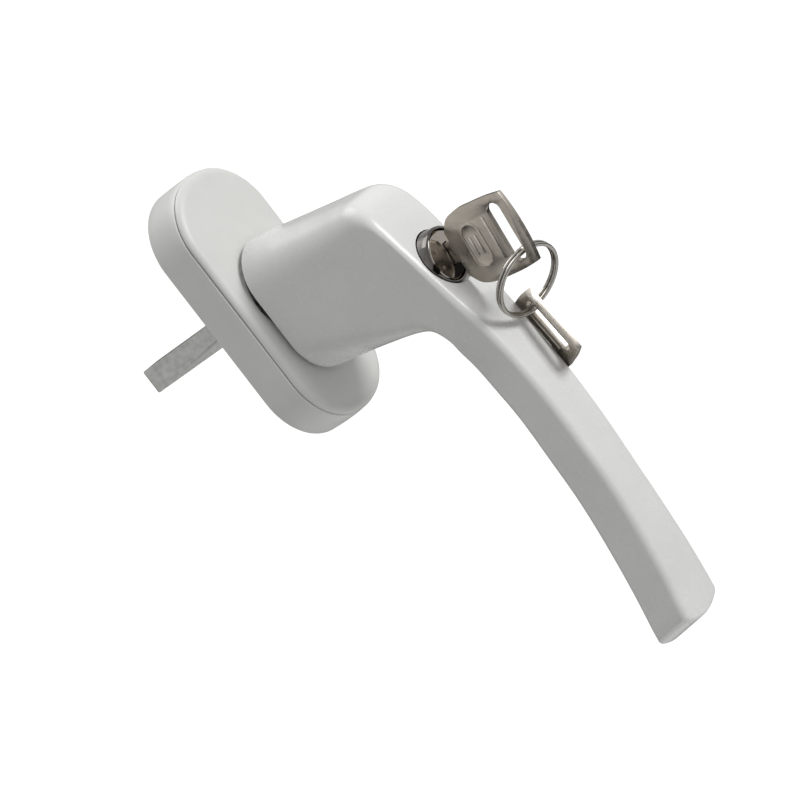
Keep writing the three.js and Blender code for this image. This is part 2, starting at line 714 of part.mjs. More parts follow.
// A plate with a window for the key; shift is how its window sits off centre.
function wafer(out) {
  const keyHalf = KEY_THICKNESS / 2 + GAP;
  const windowHalf = BLADE_HALF + WAFER_TRAVEL + 0.2;
  const half = WAFER_THICKNESS / 2;
  const plate = block(
    [-WAFER_HALF_WIDTH, out - half, -WAFER_HALF_HEIGHT],
    [WAFER_HALF_WIDTH, out + half, WAFER_HALF_HEIGHT],
  );
  const window = block(
    [-keyHalf, out - 2, -windowHalf],
    [keyHalf, out + 2, windowHalf],
  );
  return shaped(plate, { cut: [window] });
}

// The driver on the plug's tail: its underside is a quarter-turn helical ramp.
function lockCam() {
  const inner = TAIL_RADIUS + 0.2;
  const rampAt = (degrees) => {
    if (degrees < 25) return CAM_HIGH;
    if (degrees < 115) return CAM_HIGH - BOLT_STROKE * (degrees - 25) / 90;
    return degrees < 330 ? CAM_HIGH - BOLT_STROKE : CAM_HIGH;
  };
  const rings = [];
  const stepDegrees = 7.5;
  for (let degrees = 0; degrees < 360; degrees += stepDegrees) {
    const angle = THREE.MathUtils.degToRad(degrees);
    const bottom = rampAt(degrees);
    const corner = (radius, out) => at(radius * Math.cos(angle), out, radius * Math.sin(angle));
    rings.push([
      corner(inner, bottom), corner(CAM_RADIUS, bottom),
      corner(CAM_RADIUS, CAM_TOP), corner(inner, CAM_TOP),
    ]);
  }
  const index = [];
  for (let r = 0; r < rings.length; r++) {
    for (let i = 0; i < 4; i++) {
      const next = ((r + 1) % rings.length) * 4;
      const j = (i + 1) % 4;
      index.push(r * 4 + i, r * 4 + j, next + i, r * 4 + j, next + j, next + i);
    }
  }
  const geometry = new THREE.BufferGeometry().setFromPoints(rings.flat());
  geometry.setIndex(index);
  return facingOut(geometry);
}

// A piston with a follower that rides the cam, and a thin rod that ends in the bolt.
function lockingBolt() {
  const rodEnd = -(LOCK_OUT - BOLT_END_OUT) / Math.cos(LOCK_LEAN);
  const body = turned([
    [0, rodEnd],
    [BOLT_RADIUS - 0.3, rodEnd],
    [BOLT_RADIUS, rodEnd + 0.4],
    [BOLT_RADIUS, PISTON_BOTTOM],
    [PISTON_RADIUS, PISTON_BOTTOM],
    [PISTON_RADIUS, PISTON_TOP],
    [0, PISTON_TOP],
  ], 28);
  const angle = THREE.MathUtils.degToRad(FOLLOWER_ANGLE);
  const follower = bar(FOLLOWER_RADIUS, PISTON_TOP - 1, FOLLOWER_TOP, {
    x: FOLLOWER_REACH * Math.cos(angle),
    down: FOLLOWER_REACH * Math.sin(angle),
    segments: 12,
  });
  return shaped(body, { add: [follower] });
}

// --------------------------------------------------------------------- keys

function bowOutline() {
  const side = [[9.2, 8.2], [10.4, 12.4], [10.5, 17.0], [10.4, 22.0]];
  const sidePoints = (sign) => side.map(([across, out]) =>
    new THREE.Vector2(out, BOW_OFFSET + sign * across));
  const shape = new THREE.Shape();
  shape.moveTo(BOW_SHOULDER, BOW_OFFSET - BOW_SHOULDER_HALF);
  shape.lineTo(BOW_SHOULDER, BOW_OFFSET + BOW_SHOULDER_HALF);
  shape.splineThru(sidePoints(1));
  shape.lineTo(BOW_END, BOW_OFFSET + BOW_END_HALF);
  shape.quadraticCurveTo(
    BOW_END + 2 * BOW_END_SWELL, BOW_OFFSET, BOW_END, BOW_OFFSET - BOW_END_HALF);
  const [first, ...rest] = sidePoints(-1).reverse();
  shape.lineTo(first.x, first.y);
  shape.splineThru(rest);
  return shape;
}

// A stadium along down, in the middle of the bow, centred at a place "out".
function stadium(out, halfLength, halfWidth) {
  const reach = halfLength - halfWidth;
  const shape = new THREE.Shape();
  shape.absarc(out, BOW_OFFSET + reach, halfWidth, 0, Math.PI);
  shape.absarc(out, BOW_OFFSET - reach, halfWidth, Math.PI, 2 * Math.PI);
  return shape;
}

function key() {
  const half = KEY_THICKNESS / 2;
  const bow = sheet(bowOutline(), half, 3);
  const blade = loft([
    bladeRing(BLADE_TIP, 1.2),
    bladeRing(BLADE_TIP + 2.2, BLADE_HALF),
    bladeRing(BOW_SHOULDER + 1, BLADE_HALF),
  ]);
  const slot = sheet(stadium(SLOT_OUT, SLOT_HALF_LENGTH, SLOT_HALF_WIDTH), 3, 5);
  const panel = sheet(stadium(PANEL_OUT, PANEL_HALF_LENGTH, PANEL_HALF_WIDTH), half + RELIEF, 5);
  const panelField = sheet(
    stadium(PANEL_OUT, PANEL_HALF_LENGTH - 0.6, PANEL_HALF_WIDTH - 0.6), half + 1, 5);
  const core = sheet(stadium(PANEL_OUT, PANEL_HALF_LENGTH + 1, PANEL_HALF_WIDTH + 1), half, 5);
  const frame = shaped(panel, { cut: [panelField] });
  const ribs = [[RIB_OUT, 6.0], [PANEL_OUT - 0.9, 2.6], [PANEL_OUT + 0.9, 2.6]].map(([out, reach]) =>
    block(
      [-half - RELIEF, out - 0.3, BOW_OFFSET - reach],
      [half + RELIEF, out + 0.3, BOW_OFFSET + reach],
    ));
  const cuts = WAFER_OUTS.flatMap((out, i) => [-1, 1].map((side) => {
    const depth = 0.5 + 0.35 * ((i * 2 + (side > 0 ? 1 : 0)) % 3);
    return cutNotch(out, side, depth);
  }));
  return shaped(bow, { add: [blade, core, frame, ...ribs], cut: [slot, ...cuts] });
}

function bladeRing(out, halfHeight) {
  const half = KEY_THICKNESS / 2;
  return [[-1, -1], [1, -1], [1, 1], [-1, 1]].map(([x, down]) =>
    at(x * half, out, down * halfHeight));
}

// A V cut with a flat bottom in one edge of the blade.
function cutNotch(out, side, depth) {
  const shape = new THREE.Shape();
  shape.moveTo(out - 1.3, side * (BLADE_HALF + 0.5));
  shape.lineTo(out - 0.5, side * (BLADE_HALF - depth));
  shape.lineTo(out + 0.5, side * (BLADE_HALF - depth));
  shape.lineTo(out + 1.3, side * (BLADE_HALF + 0.5));
  shape.closePath();
  return sheet(shape, 3, 1);
}

// Two close turns of flat wire.
function splitRing() {
  const turns = 1.97;
  const path = new Helix(KEY_RING_RADIUS, -WIRE_PITCH, WIRE_PITCH, turns);
  return wire(path, WIRE_AXIAL / 2, WIRE_RADIAL / 2, 60);
}

// ----------------------------------------------------------------- assembly

const metal = (color, roughness, metalness = 1) =>
  new THREE.MeshStandardMaterial({ color, roughness, metalness });
const PAINT = () => metal(0xdcdcda, 0.35, 0);
const COVER_PLASTIC = () => metal(0xd3d4cf, 0.45, 0);
const BASE_PLASTIC = () => metal(0xcfcfcb, 0.5, 0);
const ZINC = () => metal(0x9a9b96, 0.45);
const STEEL = () => metal(0x8f9296, 0.35);
const CHROME = () => metal(0xb5aca2, 0.1);
const BRASS = () => metal(0xb08d4a, 0.3);
const NYLON = () => metal(0xe4e2da, 0.6, 0);
const NICKEL = () => metal(0x9a938b, 0.3);

function node(name, geometry, material, parent) {
  const closed = welded(geometry);
  closed.computeVertexNormals();
  const mesh = new THREE.Mesh(closed, material);
  mesh.name = name;
  parent.add(mesh);
  return mesh;
}

const handle = new THREE.Group();

node("rosette_base", rosetteBase(), BASE_PLASTIC(), handle);
node("rosette_cover", rosetteCover(), COVER_PLASTIC(), handle);
node("index_plate", indexPlate(), STEEL(), handle);
node("bearing_bush", bearingBush(), NYLON(), handle);
for (const [i, degrees] of [135, 315].entries()) {
  const screw = plateScrew().translate(PLATE_SCREW_REACH, 0, 0);
  node(`index_plate_screw_${i + 1}`, turnedBy(screw, degrees), STEEL(), handle);
}
for (const [i, degrees] of [45, 225].entries()) {
  node(`detent_ball_${i + 1}`, turnedBy(detentBall(), degrees), STEEL(), handle);
  node(`detent_spring_${i + 1}`, turnedBy(detentSpring(), degrees), STEEL(), handle);
}
node("detent_hub", detentHub(), ZINC(), handle);
node("thrust_washer", tube(STUB_RADIUS + GAP, WASHER_RADIUS, WASHER_BOTTOM, WASHER_TOP, 40),
  STEEL(), handle);
node("retaining_clip",
  retainingClip(CLIP_GROOVE_RADIUS + GAP, CLIP_OUTER_RADIUS, CLIP_BOTTOM, CLIP_TOP, 1.8),
  STEEL(), handle);
node("spindle", spindle(), ZINC(), handle);
node("spindle_pin", spindlePin(), STEEL(), handle);
node("handle_body", handleBody(), PAINT(), handle);

const lock = new THREE.Group();
lock.applyMatrix4(lockFrame());
handle.add(lock);
node("lock_ring", lockRing(), CHROME(), lock);
node("lock_barrel", lockBarrel(), BRASS(), lock);
node("lock_plug", lockPlug(), CHROME(), lock);
WAFER_OUTS.forEach((out, i) => node(`wafer_${i + 1}`, wafer(out), BRASS(), lock));
node("plug_clip",
  retainingClip(TAIL_GROOVE_RADIUS + GAP, PLUG_CLIP_RADIUS, PLUG_CLIP_BOTTOM, PLUG_CLIP_TOP, 1.2, 24),
  STEEL(), lock);
node("lock_cam", lockCam(), ZINC(), lock);
node("locking_bolt", lockingBolt(), STEEL(), lock);
node("bolt_spring", coilSpring(3.2, SPRING_BOTTOM, PISTON_BOTTOM - GAP - 0.2, 5, 0.25), STEEL(), lock);
node("key_in_lock", key(), NICKEL(), lock);

// The ring hangs in the lower end of the first key's slot.
const ringTop = at(0, SLOT_OUT + RING_SHIFT, SLOT_HANG).applyMatrix4(lockFrame());
const ringSide = RING_HANGS.clone().cross(RING_NORMAL);
const ring = new THREE.Group();
ring.applyMatrix4(new THREE.Matrix4().makeBasis(RING_HANGS, RING_NORMAL, ringSide));
ring.position.copy(ringTop).addScaledVector(RING_HANGS, KEY_RING_RADIUS);
handle.add(ring);
node("split_ring", splitRing(), NICKEL(), ring);

// The spare key hangs by the upper end of its slot from the ring's far side.
const spareInward = SPARE_OUTWARD.clone().negate();
const spareUp = SPARE_ACROSS.clone().negate();
const spare = new THREE.Group();
spare.applyMatrix4(new THREE.Matrix4().makeBasis(
  spareInward.clone().cross(spareUp), spareInward, spareUp));
spare.position.copy(ringTop)
  .addScaledVector(RING_HANGS, 2 * KEY_RING_RADIUS)
  .addScaledVector(SPARE_OUTWARD, -SLOT_OUT)
  .addScaledVector(SPARE_ACROSS, SPARE_HANG);
handle.add(spare);
node("spare_key", key(), NICKEL(), spare);

export default handle;
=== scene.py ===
"""The looks of a lockable window handle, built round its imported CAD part.

Lengths in the constants are millimetres, written as in the CAD: "out" is -Y, towards
the room, and "down" is -Z, along the closed lever. Meshes are made in metres.
"""

import json
import math

import bmesh
import bpy
import numpy as np
from mathutils import Matrix, Vector

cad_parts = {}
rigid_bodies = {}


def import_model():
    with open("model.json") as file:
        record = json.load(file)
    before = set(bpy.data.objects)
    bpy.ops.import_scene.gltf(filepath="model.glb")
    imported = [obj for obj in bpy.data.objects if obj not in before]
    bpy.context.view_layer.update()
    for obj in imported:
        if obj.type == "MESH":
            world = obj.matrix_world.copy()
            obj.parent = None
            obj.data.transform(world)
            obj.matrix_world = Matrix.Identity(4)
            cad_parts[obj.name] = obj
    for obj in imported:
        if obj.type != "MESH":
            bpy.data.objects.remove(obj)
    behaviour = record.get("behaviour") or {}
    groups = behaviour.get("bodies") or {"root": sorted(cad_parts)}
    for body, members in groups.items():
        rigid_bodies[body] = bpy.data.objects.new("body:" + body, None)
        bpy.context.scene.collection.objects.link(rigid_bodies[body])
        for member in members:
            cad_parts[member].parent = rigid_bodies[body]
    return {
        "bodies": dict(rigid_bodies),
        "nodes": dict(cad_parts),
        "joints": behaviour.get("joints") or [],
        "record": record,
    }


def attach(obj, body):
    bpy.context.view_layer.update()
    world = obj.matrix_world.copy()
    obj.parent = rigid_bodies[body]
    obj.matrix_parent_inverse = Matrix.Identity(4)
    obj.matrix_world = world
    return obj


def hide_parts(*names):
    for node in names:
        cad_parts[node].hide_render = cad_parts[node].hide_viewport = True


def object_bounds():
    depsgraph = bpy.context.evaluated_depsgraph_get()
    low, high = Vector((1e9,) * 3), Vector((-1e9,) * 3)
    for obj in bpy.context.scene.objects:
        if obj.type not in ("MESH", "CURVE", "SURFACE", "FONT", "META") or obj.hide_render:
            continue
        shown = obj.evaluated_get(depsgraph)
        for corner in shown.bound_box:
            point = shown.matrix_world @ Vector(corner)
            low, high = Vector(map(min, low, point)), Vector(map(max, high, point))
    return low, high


MM = 0.001
GAP = 0.3  # between neighbouring pieces

# rosette
BASE_HALF_WIDTH = 17.9
BASE_HALF_LENGTH = 37.6
BASE_TOP = 10.9
BASE_WALL = 2.2
BASE_FLOOR = 3.0
BASE_BULGE = 0.2  # the tub's walls swell this far outwards at half height
COVER_SETBACK = 0.35  # the cover's outline lies this far inside the tub's
COVER_BOTTOM = 11.2
COVER_TOP = 12.9
COVER_SKIN = 1.3
COVER_EDGE_WIDTH = 2.6
COVER_EDGE_HEIGHT = 1.6
COVER_HOLE_RADIUS = 12.0
END_SETBACK = 1.4  # the ends' arcs are this much tighter than a half circle
SCREW_SPACING = 43.0
SCREW_HOLE_RADIUS = 2.65
SCREW_HEAD_RADIUS = 4.9
SCREW_BOSS_RADIUS = 5.9
SCREW_BOSS_TOP = 8.4
RECESS_RADIUS = 9.6
RECESS_WALL = 1.8
WEB_BOTTOM = 3.1
WEB_TOP = 5.2
BUSH_HOLE_RADIUS = 7.65
HUB_HOLE_RADIUS = 10.2
CHANNEL_FLOOR = 6.1
CHANNEL_HALF = 1.75
CHANNEL_END = 18.2
CHANNEL_TURNS = (45, 225)  # degrees round the spindle
CHANNEL_WALL_HALF = 3.3
CHANNEL_WALL_END = CHANNEL_END + 1.4
POST_TOP = 8.8
POST_RADIUS = 2.8
POST_TURNS = (135, 315)
PLATE_SCREW_REACH = 14.6
PLATE_SCREW_HOLE = 1.35

# spindle and bearing stub
SPINDLE_HALF = 3.5
SPINDLE_REACH = 41.5
SPINDLE_DEPTH = 33.6
STUB_RADIUS = 6.4
STUB_FLAT = 5.4
STUB_END = 0.3
STUB_ROOT = 17.0  # inside the neck
CLIP_GROOVE = (0.8, 2.1)  # out from and out to
CLIP_GROOVE_RADII = (5.8, 7.4)
PIN_HOLE_RADIUS = 0.75
PIN_OUT = 7.7

# handle stations: front down, front out, back down, back out, half width, and the
# corner radii of the front and back
STATIONS = [
    (-14.4, 14.1, 24.8, 14.1, 12.5, 12.0, 12.0),
    (-12.9, 23.0, 25.5, 21.5, 12.3, 10.6, 10.4),
    (-11.1, 33.0, 26.4, 29.5, 12.0, 9.6, 8.6),
    (-9.5, 42.0, 27.4, 37.0, 11.6, 8.4, 6.6),
    (-8.2, 49.0, 28.3, 43.0, 11.2, 6.8, 5.0),
    (-6.8, 53.6, 29.2, 47.2, 10.9, 5.2, 4.2),
    (-3.4, 57.0, 30.3, 50.2, 10.6, 3.9, 3.7),
    (2.6, 59.1, 31.8, 52.2, 10.4, 2.9, 3.3),
    (9.5, 60.6, 33.8, 53.4, 10.2, 2.7, 3.0),
    (17.5, 62.1, 36.4, 54.2, 9.9, 2.6, 2.8),
    (26.5, 63.6, 39.8, 54.2, 9.4, 2.3, 2.6),
    (36.0, 65.2, 44.8, 54.4, 8.6, 2.1, 2.5),
    (47.0, 66.3, 51.6, 54.4, 8.0, 2.0, 2.5),
    (60.0, 67.1, 61.5, 54.9, 7.9, 2.0, 2.5),
    (74.0, 66.9, 74.0, 54.4, 7.8, 2.0, 2.5),
    (88.0, 66.1, 87.0, 53.5, 7.5, 2.0, 2.5),
    (102.0, 64.7, 100.5, 52.1, 7.9, 2.0, 2.5),
    (113.8, 63.0, 114.8, 50.1, 8.5, 2.0, 2.4),
    (125.0, 60.8, 127.0, 48.0, 9.1, 2.0, 2.2),
]
STATION_STEPS = 8
FRONT_CROWN = 0.45  # the front face swells this much across its width
TIP_EDGE_RADIUS = 1.2
TIP_LENGTH = 4.6  # from the last station to the tip's edge
TIP_ARC = 2.6  # the tip's end is an arc, this deep
TIP_RUN = Vector((0, 0.19, -1)).normalized()  # the way the lever runs at its tip

# lock, in its own leaning frame: "out" runs along the lock's axis
LOCK_LEAN = math.radians(8.2)
LOCK_DOWN = 17.0
LOCK_OUT = 61.0
RING_RADIUS = 7.7
RING_INNER_RADIUS = 6.9
RING_TOP = 2.9
RING_BOTTOM = -3.0
BARREL_HOLE_RADIUS = 6.9
BARREL_BOTTOM = -19.3
PISTON_HOLE_RADIUS = 4.8
BOLT_BORE_BOTTOM = -36.0
BOLT_HOLE_RADIUS = 1.75
PLUG_RADIUS = 5.3
PLUG_HEAD_RADIUS = 6.5
PLUG_HEAD_BOTTOM = 2.3
PLUG_FACE = 2.7
PLUG_DOME = 0.95
PLUG_BOTTOM = -18.4
TAIL_RADIUS = 2.6
TAIL_END = -24.2
TAIL_GROOVE = (-20.7, -19.3)
TAIL_GROOVE_RADIUS = 2.0
TAIL_FLAT = 2.0
CAM_TOP = -21.0
WAFER_OUTS = (-2.6, -6.0, -9.4, -12.8)
WAFER_SLOT_HALF = (3.0, 0.8)  # half its width, half its thickness

# keys
KEY_HALF = 0.75
BLADE_HALF = 2.9
BLADE_TIP = -15.5
BOW_SHOULDER = 5.6
BOW_SHOULDER_HALF = 6.2
BOW_OFFSET = 0.8  # the bow sits this far off the blade's middle line
BOW_END = 26.6
BOW_END_HALF = 9.9
BOW_END_SWELL = 0.9
BOW_SIDE = (  # (across, out) points
    (9.2, 8.2), (10.4, 12.4), (10.5, 17.0), (10.4, 22.0))
SLOT_OUT = 22.6
SLOT_HALF_WIDTH = 2.0
SLOT_HALF_LENGTH = 8.2
RIB_OUT = 18.3
PANEL_OUT = 12.6
PANEL_HALF_LENGTH = 6.2
PANEL_HALF_WIDTH = 3.0
PANEL_RIM = 0.6
RELIEF = 0.22  # how far the panel's rim and the ribs stand up

# split ring and spare key
KEY_RING_RADIUS = 9.8
WIRE_RADIAL = 1.1
WIRE_AXIAL = 0.95
WIRE_PITCH = 1.05
WIRE_TURNS = 1.97
RING_SHIFT = 0.1  # the wire lies this far towards the bow's end
SLOT_HANG = BOW_OFFSET + SLOT_HALF_LENGTH - 2.0  # where the wire crosses the first key
SPARE_HANG = SLOT_HALF_LENGTH - 2.2 - BOW_OFFSET  # and the spare key

# camera
CAMERA_LOCATION = (-0.77415, -0.68876, 0.03893)
CAMERA_RIGHT = (0.48148, -0.63176, -0.60750)
CAMERA_UP = (0.44477, -0.42114, 0.79046)
CAMERA_BACK = (-0.75522, -0.65078, 0.07822)
CAMERA_LENS = 178.81

# studio
AMBIENT = 0.38  # strength of the all-round light
BACKDROP = 1.1  # how bright the plain ground behind the object is
ROOM_GLOW = 0.74  # how bright the room looks in reflections
DARK_CORNER = (0.507, 0.862, 0.0)  # where the room's unlit corner is, for reflections
FLOOR_DROP = 0.30  # the floor is this far below the object
FLOOR_RADIUS = 0.5


# ---------------------------------------------------------------- mesh helpers

def at(x, out, down):
    return Vector((x * MM, -out * MM, -down * MM))


def direction(x, out, down):
    return Vector((x, -out, -down)).normalized()


def perpendicular(vector, normal):
    return (vector - normal * vector.dot(normal)).normalized()


def new_object(name, mesh):
    piece = bpy.data.objects.new(name, mesh)
    bpy.context.scene.collection.objects.link(piece)
    return piece


def loft(name, rings):
    """A closed mesh through rings of equally many points."""
    count = len(rings[0])
    points = [point for ring in rings for point in ring]
    faces = []
    for r in range(len(rings) - 1):
        for i in range(count):
            a = r * count + i
            b = r * count + (i + 1) % count
            faces.append((a, b, b + count, a + count))
    faces.append(tuple(range(count))[::-1])
    last = (len(rings) - 1) * count
    faces.append(tuple(range(last, last + count)))
    mesh = bpy.data.meshes.new(name)
    mesh.from_pydata(points, [], faces)
    face_outwards(mesh)
    return new_object(name, mesh)


def face_outwards(mesh):
    work = bmesh.new()
    work.from_mesh(mesh)
    bmesh.ops.recalc_face_normals(work, faces=work.faces)
    work.to_mesh(mesh)
    work.free()


def lathe(name, profile, segments=96):
    """A body turned about the out axis from (radius, out) points, first and last on the axis
    or joined to each other."""
    closed = profile[0][0] > 0
    work = bmesh.new()
    rows = []
    for radius, out in profile:
        if radius == 0:
            rows.append([work.verts.new(at(0, out, 0))] * segments)
            continue
        row = []
        for s in range(segments):
            angle = 2 * math.pi * s / segments
            row.append(work.verts.new(at(radius * math.cos(angle), out, radius * math.sin(angle))))
        rows.append(row)
    pairs = list(zip(rows, rows[1:]))
    if closed:
        pairs.append((rows[-1], rows[0]))
    for low, high in pairs:
        for s in range(segments):
            n = (s + 1) % segments
            corners = [low[s], low[n], high[n], high[s]]
            unique = list(dict.fromkeys(corners))
            if len(unique) > 2:
                work.faces.new(unique)
    bmesh.ops.recalc_face_normals(work, faces=work.faces)
    mesh = bpy.data.meshes.new(name)
    work.to_mesh(mesh)
    work.free()
    return new_object(name, mesh)


def bar(radius, start, end, x=0.0, down=0.0, segments=64):
    piece = lathe("bar", [(0, start), (radius, start), (radius, end), (0, end)], segments)
    piece.data.transform(Matrix.Translation(at(x, 0, down)))
    return piece


def block(low, high):
    """A box between two corners, each given as (x, out, down)."""
    corners = ((low[0], low[2]), (high[0], low[2]), (high[0], high[2]), (low[0], high[2]))
    rings = [[at(x, out, down) for x, down in corners] for out in (low[1], high[1])]
    return loft("block", rings)


def prism(outline, half_thickness):
    """A flat shape of (out, down) points, given a thickness along X."""
    sides = (-half_thickness, half_thickness)
    return loft("prism", [[at(x, out, down) for out, down in outline] for x in sides])


def turned_by(piece, degrees):
    piece.data.transform(Matrix.Rotation(math.radians(degrees), 4, "Y"))
    return piece


def moved(piece, matrix):
    piece.data.transform(matrix)
    return piece


def apply_modifiers(piece):
    graph = bpy.context.evaluated_depsgraph_get()
    mesh = bpy.data.meshes.new_from_object(piece.evaluated_get(graph))
    old = piece.data
    piece.modifiers.clear()
    piece.data = mesh
    bpy.data.meshes.remove(old)


def combined(piece, operation, other):
    boolean = piece.modifiers.new("shape", "BOOLEAN")
    boolean.operation = operation
    boolean.solver = "EXACT"
    boolean.object = other
    apply_modifiers(piece)


def shaped(piece, add=(), cut=()):
    """The piece joined with those in add, then cut by those in cut; both are used up."""
    for operation, others in (("UNION", add), ("DIFFERENCE", cut)):
        for other in others:
            combined(piece, operation, other)
            bpy.data.objects.remove(other)
    return piece


def finished(piece, name, body, nodes, material, bevel=0.0, angle=30.0):
    """Softens the piece's edges, names it and puts it in place of its CAD nodes."""
    if bevel:
        rounding = piece.modifiers.new("rounding", "BEVEL")
        rounding.width = bevel * MM
        rounding.segments = 2
        rounding.angle_limit = math.radians(angle)
        rounding.use_clamp_overlap = True
        apply_modifiers(piece)
    piece.name = name
    piece.data.name = name
    for polygon in piece.data.polygons:
        polygon.use_smooth = True
    piece.data.set_sharp_from_angle(angle=math.radians(angle))
    piece.data.materials.clear()
    piece.data.materials.append(material)
    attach(piece, body)
    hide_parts(*nodes)


def rounded_rectangle(half_a, half_b, front_radius, back_radius, arc_steps, side_steps):
    """(a, b) points round a rectangle whose corners are arcs: front_radius where b > 0."""
    corners = []
    for k, (side_a, side_b) in enumerate(((1, 1), (-1, 1), (-1, -1), (1, -1))):
        radius = front_radius if side_b > 0 else back_radius
        for i in range(arc_steps + 1):
            angle = (k + i / arc_steps) * math.pi / 2
            corners.append((
                side_a * (half_a - radius) + radius * math.cos(angle),
                side_b * (half_b - radius) + radius * math.sin(angle),
            ))
    points = []
    for i, (a, b) in enumerate(corners):
        next_a, next_b = corners[(i + 1) % len(corners)]
        steps = side_steps if (i + 1) % (arc_steps + 1) == 0 else 1
        for s in range(steps):
            t = s / steps
            points.append((a + t * (next_a - a), b + t * (next_b - b)))
    return points


def smooth_rows(rows, steps):
    """The rows with more put in between, along a smooth curve through them."""
    rows = np.array(rows, float)
    gaps = np.sqrt(np.hypot(*np.diff(rows[:, :2], axis=0).T))
    knots = np.concatenate([[0.0], np.cumsum(gaps)])
    slopes = np.gradient(rows, knots, axis=0)
    result = []
    for i, gap in enumerate(gaps):
        for s in range(steps):
            t = s / steps
            result.append(
                (2 * t**3 - 3 * t**2 + 1) * rows[i]
                + (t**3 - 2 * t**2 + t) * gap * slopes[i]
                + (3 * t**2 - 2 * t**3) * rows[i + 1]
                + (t**3 - t**2) * gap * slopes[i + 1]
            )
    result.append(rows[-1])
    return result


# -------------------------------------------------------------------- rosette

def rosette_ring(setback, out):
    half_width = BASE_HALF_WIDTH - setback
    half_length = BASE_HALF_LENGTH - setback
    radius = half_width - END_SETBACK
    outline = rounded_rectangle(half_width, half_length, radius, radius, 24, 6)
    return [at(x, out, down) for x, down in outline]


def rosette_tub():
    walls = [(0.15, 0.0), (-0.02, 0.12), (-0.1, 0.4), (-0.17, 2.6), (-BASE_BULGE, BASE_TOP / 2)]
    walls += [(-0.13, 8.6), (0.0, BASE_TOP - 0.55), (0.12, BASE_TOP - 0.2), (0.4, BASE_TOP)]
    tub = loft("base", [rosette_ring(setback, out) for setback, out in walls])
    hollow = loft("hollow", [
        rosette_ring(BASE_WALL, BASE_FLOOR), rosette_ring(BASE_WALL, COVER_TOP)])
    return shaped(tub, cut=[hollow])


def screw_sink(down):
    """The cone and the space above it that a countersunk screw's head needs."""
    sink_bottom = SCREW_BOSS_TOP - (SCREW_HEAD_RADIUS - SCREW_HOLE_RADIUS)
    sink = lathe("sink", [
        (0, sink_bottom),
        (SCREW_HOLE_RADIUS, sink_bottom),
        (SCREW_HEAD_RADIUS, SCREW_BOSS_TOP),
        (SCREW_HEAD_RADIUS, SCREW_BOSS_TOP + 1),
        (0, SCREW_BOSS_TOP + 1),
    ], 64)
    return moved(sink, Matrix.Translation(at(0, 0, down)))


def rosette_base():
    screw_downs = (-SCREW_SPACING / 2, SCREW_SPACING / 2)
    additions = [bar(RECESS_RADIUS + RECESS_WALL, 1, WEB_TOP)]
    additions += [bar(SCREW_BOSS_RADIUS, 1, SCREW_BOSS_TOP, down=down) for down in screw_downs]
    for turn in CHANNEL_TURNS:
        additions.append(turned_by(block(
            (RECESS_RADIUS, 1, -CHANNEL_WALL_HALF),
            (CHANNEL_WALL_END, POST_TOP, CHANNEL_WALL_HALF)), turn))
    for turn in POST_TURNS:
        additions.append(turned_by(bar(POST_RADIUS, 1, POST_TOP, x=PLATE_SCREW_REACH), turn))
    cuts = [
        bar(RECESS_RADIUS, -1, WEB_BOTTOM),
        bar(BUSH_HOLE_RADIUS, 0, 7),
        bar(HUB_HOLE_RADIUS, WEB_TOP, 12),
    ]
    for down in screw_downs:
        cuts += [bar(SCREW_HOLE_RADIUS, -1, 12, down=down), screw_sink(down)]
    for turn in CHANNEL_TURNS:
        cuts.append(turned_by(
            block((8, CHANNEL_FLOOR, -CHANNEL_HALF), (CHANNEL_END, 12, CHANNEL_HALF)), turn))
    for turn in POST_TURNS:
        cuts.append(turned_by(bar(PLATE_SCREW_HOLE, 4, 12, x=PLATE_SCREW_REACH), turn))
    return shaped(rosette_tub(), add=additions, cut=cuts)


def rosette_cover():
    rings = [rosette_ring(COVER_SETBACK + 0.12, COVER_BOTTOM)]
    steps = 12
    for i in range(steps + 1):
        angle = i / steps * math.pi / 2
        setback = COVER_SETBACK + COVER_EDGE_WIDTH * (1 - math.cos(angle))
        out = COVER_TOP - COVER_EDGE_HEIGHT * (1 - math.sin(angle))
        rings.append(rosette_ring(setback, out))
    inside = COVER_SETBACK + COVER_SKIN + GAP
    hollow = loft("hollow", [
        rosette_ring(inside, COVER_BOTTOM - 1), rosette_ring(inside, COVER_TOP - COVER_SKIN)])
    hole = bar(COVER_HOLE_RADIUS, COVER_BOTTOM - 1, COVER_TOP + 1)
    return shaped(loft("cover", rings), cut=[hollow, hole])


# --------------------------------------------------------------------- handle

def handle_ring(row, lift=0.0, shrink=0.0, arc=0.0):
    """A cross-section: lift moves it along the lever, shrink draws its outline in, and
    arc pulls its sides back."""
    front_down, front_out, back_down, back_out, half_width, front_radius, back_radius = row
    front = at(0, front_out, front_down)
    back = at(0, back_out, back_down)
    middle = (front + back) / 2
    up = front - back
    half_height = up.length / 2 / MM
    up.normalize()
    along = TIP_RUN if arc > 0 else Vector((1, 0, 0)).cross(up).normalized()
    outline = rounded_rectangle(
        half_width - shrink, half_height - shrink,
        max(front_radius - shrink, 0.12), max(back_radius - shrink, 0.12), 9, 9)
    points = []
    for x, b in outline:
        across = x / half_width
        crown = FRONT_CROWN * (1 - across * across) if b > 0 else 0.0
        forward = lift - arc * across * across
        points.append(middle + (up * (b + crown) + along * forward) * MM + Vector((x * MM, 0, 0)))
    return points


